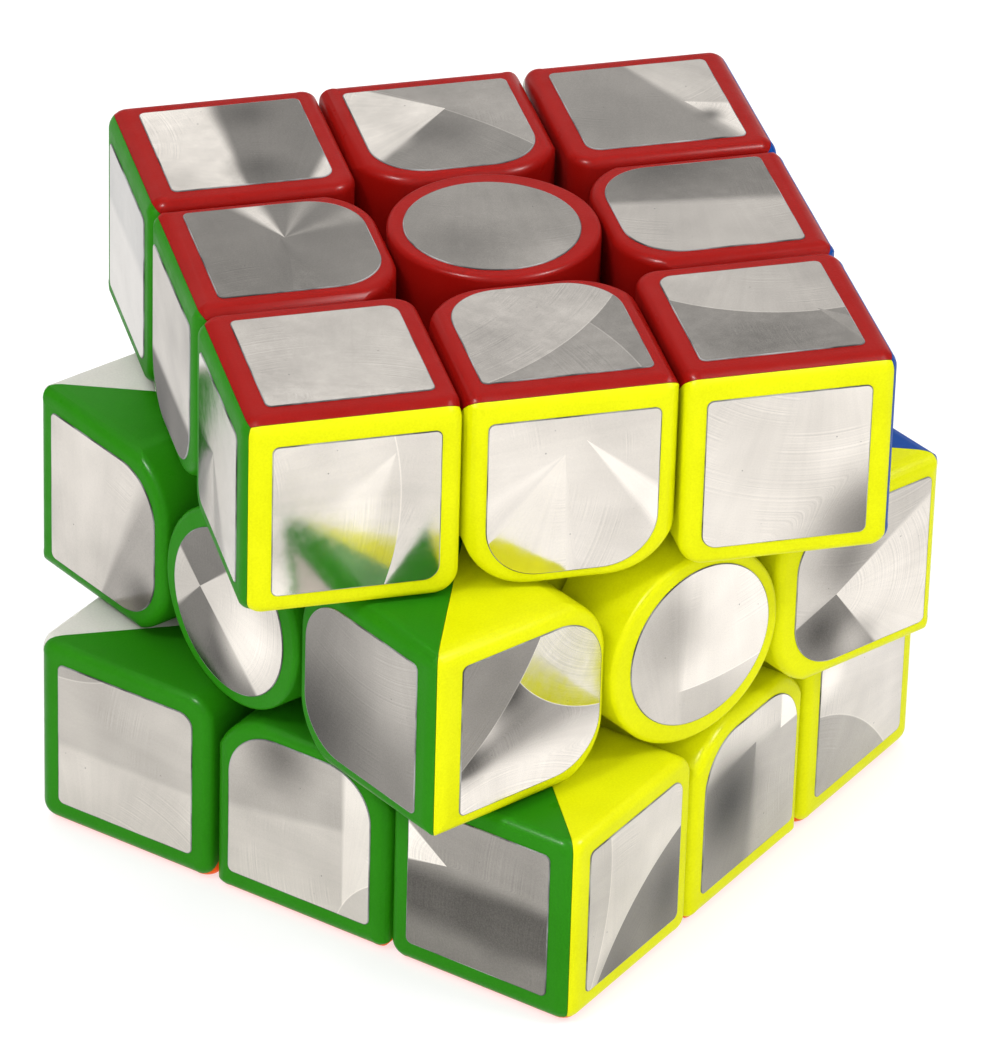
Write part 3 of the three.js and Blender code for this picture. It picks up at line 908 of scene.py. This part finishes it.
FOIL_WITH_PAINTED_REFLECTIONS = {
    "corner_red_white_green_red": (
        226,
        [
            painted_reflection_spot(-6, 6, 3, 205),
            painted_reflection_spot(7, 4, 9, 246),
            fan(-18, 0.7, -14.5, 14.5, 130, 2.2),
            painted_reflection_spot(-4.6, -1.2, 3.4, 104),
            painted_reflection_spot(5.4, -2, 3.4, 106),
        ],
    ),
    "corner_red_white_blue_red": (
        156, [fan(-2.9, 13, -42, 23, 206, 3), fan(3.4, -0.2, -38, 24, 240, 5), painted_reflection_spot(5, -3, 1.6, 132)],
    ),
    "corner_red_yellow_green_red": (201, [fan(-16, 9, -8, 6, 199, 5)]),
    "corner_red_yellow_blue_red": (
        140, [painted_reflection_spot(5, -1, 6, 118), disc(-18.7, 5, 19.7, 192), fan(0.6, 4.8, 38, 14, 160, 5)],
    ),
    "edge_red_white_red": (
        162,
        [
            disc(-27.9, 30, 43.6, 146),
            painted_reflection_spot(-0.6, 0.6, 5, 122),
            fan(3.1, -0.9, 95, 42, 226, 2.5),
            painted_reflection_spot(-1, 6, 3, 245),
        ],
    ),
    "edge_red_green_red": (
        136,
        [
            fan(-0.2, -1.6, -157, 9, 158, 9),
            fan(-0.2, -1.6, -118, 7, 172, 8),
            fan(-0.2, -1.6, -72, 10, 224, 7),
            fan(0.2, -1.6, 92, 10, 122, 20),
            painted_reflection_spot(0, 6, 5, 126),
        ],
    ),
    "edge_red_blue_red": (192, [fan(-30, 4.4, 83.3, 90, 132, 1.4), painted_reflection_spot(-1, 7.5, 6, 106)]),
    "edge_red_yellow_red": (
        137, [disc(11.7, -22.3, 28.9, 155), disc(-22.8, -21.2, 33.5, 184), painted_reflection_spot(0, -5, 4, 173)],
    ),
    "centre_red": (156, [painted_reflection_spot(-4, -3, 8, 139), painted_reflection_spot(4, -6, 4, 170)]),
    "corner_red_yellow_green_yellow": (
        212,
        [
            fan(9, 20, -90, 180, 212, 1, (-0.1, 0.178)),
            disc(1.3, 23.5, 27.3, 214, (-0.05, -0.335)),
            painted_reflection_spot(-5, 6.5, 3.5, 165),
            painted_reflection_sector(5.6, -3.3, 148, 17, 230, 9),
        ],
    ),
    "edge_red_yellow_yellow": (
        216,
        [
            fan(4, 0.8, 162, 22, 228, 3, (-0.17, 0)),
            fan(5.2, -1, -137, 8, 246, 3),
            fan(4, 0.8, 125, 6, 226, 6),
        ],
    ),
    "corner_red_yellow_blue_yellow": (216, [fan(15, 6, -122, 9, 164, 12), painted_reflection_spot(8.5, -6.5, 7, 114)], 0.6),
    "corner_red_yellow_green_green": (
        188,
        [fan(-1.5, 0.5, -72, 13, 144, 8), fan(-1.5, 0.5, -150, 28, 100, 12), painted_reflection_spot(-6.5, -4.5, 4, 66)],
        0.6,
    ),
    "edge_red_green_green": (
        178,
        [
            fan(9, 20, -90, 180, 178, 1, (0.3, 0)),
            painted_reflection_spot(5, -7, 4, 164),
            beside(-2.8, 60, -90, 104, 0.6, (0.55, 0)),
            painted_reflection_spot(-7, 4, 5, 84),
        ],
    ),
    "corner_red_white_green_green": (178, [fan(2.2, 40, -46, 45, 144, 1.2), painted_reflection_spot(4, -9, 4, 120)]),
    "edge_yellow_green_yellow": (
        218,
        [
            fan(3, 21, -90, 180, 226, 1, (0, -0.17)),
            fan(9, 4, -160, 15, 150, 11, (0, -0.17)),
            painted_reflection_spot(2.4, -3, 5, 78),
            painted_reflection_spot(7, 2, 3.2, 72),
            disc(-9.9, -12, 14, 220, (-0.208, 0.237)),
            disc(26.4, -20.7, 30.2, 134),
        ],
        0.8,
    ),
    "centre_yellow": (
        190,
        [
            disc(0.3, 24.8, 28.9, 228),
            painted_reflection_spot(8, 0, 8, 232),
            fan(-1.8, -16, 133, 42, 200, 2.5),
            painted_reflection_spot(-3.8, 2.2, 5.5, 170),
        ],
    ),
    "edge_yellow_blue_yellow": (
        192,
        [
            painted_reflection_spot(-1.8, 2.6, 5, 134),
            fan(-3, -0.8, -11, 43, 222, 2),
            fan(-3, -0.8, -105, 51, 122, 1.5),
            painted_reflection_spot(-0.5, -6.4, 3, 176),
            painted_reflection_spot(-4.8, -4, 2.8, 86),
        ],
        0.6,
    ),
    "edge_yellow_green_green": (
        133, [fan(1, 20, -90, 180, 133, 1), painted_reflection_spot(-6.5, -5, 9, 80), painted_reflection_spot(6, 6, 9, 174)], 1,
    ),
    "centre_green": (
        112,
        [
            painted_reflection_spot(-5, 1, 3, 88),
            fan(0.7, 4, 92, 45, 192, 4),
            fan(0.7, 4, -90, 41, 206, 2),
            painted_reflection_spot(-1.5, -3, 5, 246),
        ],
        0.6,
    ),
    "edge_white_green_green": (200, [fan(1.2, 10, -140, 26, 160, 4), painted_reflection_spot(-6, 5.5, 3.4, 104)]),
    "corner_orange_yellow_green_green": (
        94,
        [
            fan(4.2, 30, -45, 45, 128, 2.5),
            beside(-1.2, 30, -90, 156, 2.5),
            painted_reflection_spot(2.4, 3, 4, 98),
            fan(-2.2, -3.2, -104, 24, 244, 2),
        ],
        0.8,
    ),
    "edge_orange_green_green": (
        205,
        [
            beside(-6.2, 40, -82, 182, 0.8),
            painted_reflection_spot(-6.4, -2, 4.5, 122),
            fan(9, 4.7, 135, 45, 234),
            disc(10.3, 12, 8.2, 204),
        ],
    ),
    "corner_orange_white_green_green": (202, [fan(-30, 1, -45, 45, 186, 0.8), disc(8, -20, 14, 172)]),
    "corner_orange_yellow_green_yellow": (
        208,
        [disc(28, -3.9, 24.1, 192), disc(-16.5, 23.5, 27.5, 128), painted_reflection_spot(3, 8, 4, 106), painted_reflection_spot(-5.5, 3, 4.5, 98)],
        0.4,
    ),
    "edge_orange_yellow_yellow": (
        184,
        [
            fan(-4.2, 30, -135, 45, 206),
            fan(-3.6, 4.7, 135, 45, 244, 4),
            fan(-4.3, 0.6, -43, 41, 142, 7),
            painted_reflection_spot(-0.2, -3.6, 6.5, 66),
        ],
    ),
    "corner_orange_yellow_blue_yellow": (210, [painted_reflection_spot(-5, -6, 3, 250), disc(20.4, -14.3, 22.9, 172)]),
}


def draw_foil(draw):
    """A random cut for a film that is like the others: fans from a point, and often a disc or a patch, whose
    greys are painted reflections.
    """
    areas = []
    if draw.random() < 0.6:
        angle, radius = draw.uniform(0, 2 * math.pi), draw.uniform(20, 36)
        reach = radius + draw.uniform(-4, 4)
        x, y = reach * math.cos(angle), reach * math.sin(angle)
        areas.append(disc(x, y, radius, draw.choice([136, 190, 234])))
    point = (draw.uniform(-5, 5), draw.uniform(-5, 5))
    for _ in range(draw.choice([1, 2, 2])):
        grey = draw.choice([122, 156, 232])
        areas.append(fan(*point, draw.uniform(-180, 180), draw.uniform(7, 42), grey, draw.uniform(1.5, 8)))
    for _ in range(draw.choice([0, 1, 1])):
        x, y, size = draw.uniform(-6, 6), draw.uniform(-6, 6), draw.uniform(3, 7)
        areas.append(painted_reflection_spot(x, y, size, draw.choice([110, 240])))
    return draw.choice([150, 170, 205, 222]), areas, draw.uniform(0, 0.8)


def add_foil(film, name):
    """Gives a film its own cut of the foil and its painted reflections, as attributes that are the same on
    every vertex.
    """
    draw = random.Random(name)
    grey, areas, *wear = FOIL_WITH_PAINTED_REFLECTIONS.get(name) or draw_foil(draw)
    mesh = film.data
    count = len(mesh.vertices)
    unused = [((0, 0, 0), (0, -ROUND, 1), 0, (0, 0, SHARP))] * (SECTORS - len(areas))

    def store(title, kind, values):
        layer = mesh.attributes.new(title, kind, "POINT")
        key = {"FLOAT": "value", "FLOAT_VECTOR": "vector", "FLOAT_COLOR": "color"}[kind]
        layer.data.foreach_set(key, values * count)

    store("foil_painted_grey", "FLOAT", [linear(grey, grey, grey)[0]])
    store("foil_wear", "FLOAT", wear or [0.0])
    store("foil_seed", "FLOAT_VECTOR", [draw.uniform(0, 50) for _ in range(3)])
    for index, (where, angles, tone, slope) in enumerate(areas + unused):
        look = [*map(math.radians, angles), linear(tone, tone, tone)[0]]
        store(f"sector_place_{index}", "FLOAT_VECTOR", [*where])
        store(f"sector_painted_look_{index}", "FLOAT_COLOR", look)
        store(f"sector_slope_{index}", "FLOAT_VECTOR", [*slope])


# How far a film was stuck from its proper place, in mm along its own x and y.
STRAY = {
    "centre_yellow": (0.35, 0.25),
    "centre_green": (-0.3, 0.1),
    "centre_red": (-0.25, -0.3),
    "edge_yellow_blue_yellow": (0.9, 0.0),
    "edge_yellow_green_yellow": (-0.4, 0.0),
}
PROUD = {"yellow": 0.45, "red": 0.25}  # how far two centres stand out of their face, in mm


def add_film(name, source, turn, layer, body):
    x, y = STRAY.get(name, (0, 0))
    shifted = turn @ Matrix.Translation((x, y, 0))
    film = place(f"film_{name}", source, shifted, layer, body, [MIRROR, PAINTED_RIM_SHADE])
    add_foil(film, name)


def neighbours(first, second):
    return SIDES[first].dot(SIDES[second]) == 0


def build_cube():
    """Makes one of each kind of piece, puts copies of it in every place and removes it."""
    corner_shell = smooth(make_corner_shell())
    edge_shell = smooth(make_edge_shell())
    cap = smooth(make_cap())
    for piece in (corner_shell, edge_shell, cap):
        paint_flatness(piece.data)
    corner_film, edge_film, centre_film = (
        smooth(film) for film in (make_corner_film(), make_edge_film(), make_centre_film())
    )
    base, screw, spring = smooth(make_base()), smooth(make_screw()), smooth(make_spring())
    core = smooth(make_core())
    sources = [corner_shell, edge_shell, cap, corner_film, edge_film, centre_film, base, screw, spring, core]

    place("core_body", core, Matrix(), "middle_layer", "middle_layer", [CORE_PLASTIC], "core")
    for colour in COLOURS:
        turn, layer, body = along(SIDES[colour]), layer_of([colour]), CENTRE_BODIES[colour]
        pulled = turn @ Matrix.Translation((0, 0, PROUD.get(colour, 0)))
        slot, dress = f"{colour}_plastic", [PLASTICS[colour]]
        place(f"cap_{colour}", cap, pulled, layer, body, dress, f"centre_cap_{colour}")
        place(f"base_{colour}", base, turn, layer, body, dress, f"centre_base_{colour}")
        place(f"spring_{colour}", spring, turn, layer, body, [STEEL], f"centre_spring_{colour}")
        place(
            f"screw_{colour}", screw, turn, "middle_layer", "middle_layer", [STEEL],
            f"centre_screw_{colour}",
        )
        add_film(f"centre_{colour}", centre_film, pulled, layer, body)
    for first_index, first in enumerate(COLOURS):
        for second in COLOURS[first_index + 1 :]:
            if not neighbours(first, second):
                continue
            edge, layer = f"edge_{first}_{second}", layer_of([first, second])
            for own, other in ((first, second), (second, first)):
                turn = axes_to(SIDES[other], SIDES[own])
                name, half = f"{edge}_{own}", f"{edge}_half_{own}"
                slot, dress = f"{own}_plastic", [PLASTICS[own]]
                place(f"shell_{name}", edge_shell, turn, layer, layer, dress, half)
                add_film(name, edge_film, turn, layer, layer)
    for first in ("red", "orange"):
        for second in ("yellow", "white"):
            for third in ("green", "blue"):
                corner, layer = f"corner_{first}_{second}_{third}", layer_of([first])
                for own, a, b in ((first, second, third), (second, third, first), (third, first, second)):
                    right_handed = SIDES[a].cross(SIDES[b]).dot(SIDES[own]) > 0
                    turn = axes_to(SIDES[a if right_handed else b], SIDES[own])
                    name, slot, dress = f"{corner}_{own}", f"{own}_plastic", [PLASTICS[own]]
                    place(f"shell_{name}", corner_shell, turn, layer, layer, dress, corner)
                    add_film(name, corner_film, turn, layer, layer)
    for source in sources:
        bpy.data.objects.remove(source)


# Studio


def build_floor():
    """A pale floor a hair under the lowest films."""
    size, clearance = 6000 * MM, 0.03
    floor = object_from_faces(
        "floor",
        [(-size, -size, 0), (size, -size, 0), (size, size, 0), (-size, size, 0)],
        [(0, 1, 2, 3)],
    )
    floor.location.z = -(FILM_THICKNESS + clearance) * MM
    material, tree, shader = new_material("floor")
    shader.inputs["Base Color"].default_value = (0.45, 0.45, 0.45, 1)
    shader.inputs["Emission Color"].default_value = (1, 1, 1, 1)
    shader.inputs["Emission Strength"].default_value = 0.6
    shader.inputs["Roughness"].default_value = 0.9
    shader.inputs["Specular IOR Level"].default_value = 0.1
    floor.data.materials.append(material)


def direction_to(azimuth, elevation):
    """A direction in world axes. Azimuth is from +Y towards +X."""
    level = math.cos(elevation)
    return Vector((math.sin(azimuth) * level, math.cos(azimuth) * level, math.sin(elevation)))


def add_softbox(name, azimuth, elevation, distance, width, height, power):
    """A rectangular light that faces the cube. Angles are in degrees, lengths here in metres."""
    light = bpy.data.lights.new(name, "AREA")
    light.shape = "RECTANGLE"
    light.size, light.size_y, light.energy = width, height, power
    lamp = new_object(name, light)
    out = direction_to(math.radians(azimuth), math.radians(elevation))
    lamp.location = out * distance
    lamp.rotation_euler = out.to_track_quat("Z", "Y").to_euler()
    lamp.visible_camera = False
    return lamp


def build_studio():
    """A pale room, brightest on the far wall, with soft lights round the cube."""
    world = bpy.data.worlds.new("studio")
    bpy.context.scene.world = world
    world.use_nodes = True
    tree = world.node_tree
    background = tree.nodes["Background"]
    direction = node(tree, "ShaderNodeTexCoord").outputs["Generated"]
    rising = remap(tree, parts_of(tree, direction)["Z"], 0.45, 1, 0.5, 1.1, smooth_step=True)
    far_wall = direction_to(math.radians(40), math.radians(30))
    towards = node(tree, "ShaderNodeVectorMath", {0: direction, 1: far_wall}, operation="DOT_PRODUCT")
    wall = remap(tree, towards.outputs["Value"], 0.62, 0.9, 0, 0.38, smooth_step=True)
    level = calc(tree, "ADD", rising, wall)
    tree.links.new(grey_of(tree, level), background.inputs["Color"])
    background.inputs["Strength"].default_value = 1
    side_lamps = (("left", 260, 52), ("right", 150, 48))
    for name, azimuth, elevation in side_lamps:
        add_softbox(name, azimuth, elevation, 1.5, 0.3, 0.16, 5)
    add_softbox("front", 222, 26, 1.6, 1.1, 0.8, 8.5).visible_glossy = False
    add_softbox("back", 30, 50, 1.6, 1.1, 0.8, 3)
    # A small lamp in the middle of each side lamp gives the plastic its highlights, and only that.
    plastic_pieces = bpy.data.collections.new("plastic_pieces")
    for piece in bpy.data.objects:
        if piece.name.startswith(("shell_", "cap_")):
            plastic_pieces.objects.link(piece)
    for name, azimuth, elevation in side_lamps:
        lamp = add_softbox(f"{name}_glint", azimuth, elevation, 1.5, 0.16, 0.16, 50)
        lamp.visible_diffuse = False
        lamp.light_linking.receiver_collection = plastic_pieces


def build_camera():
    """A long lens from above the front left edge, rolled a little."""
    azimuth, elevation, roll = map(math.radians, (39.76, 31.5, 1.69))
    distance = 700.95 * MM
    forward = direction_to(azimuth, -elevation)
    level = forward.cross(Vector((0, 0, 1))).normalized()
    right = level * math.cos(roll) + level.cross(forward) * math.sin(roll)
    up = right.cross(forward)
    aim = Vector((0.45, -1.47, HALF - 1.38)) * MM
    camera = bpy.data.cameras.new("camera")
    camera.lens = 270.8
    camera.sensor_width = 36
    holder = new_object("camera", camera)
    rotation = Matrix((right, up, -forward)).transposed().to_4x4()
    holder.matrix_world = Matrix.Translation(aim - forward * distance) @ rotation
    bpy.context.scene.camera = holder


build_camera()
build_cube()
build_floor()
build_studio()
bpy.context.scene.view_settings.view_transform = "Standard"
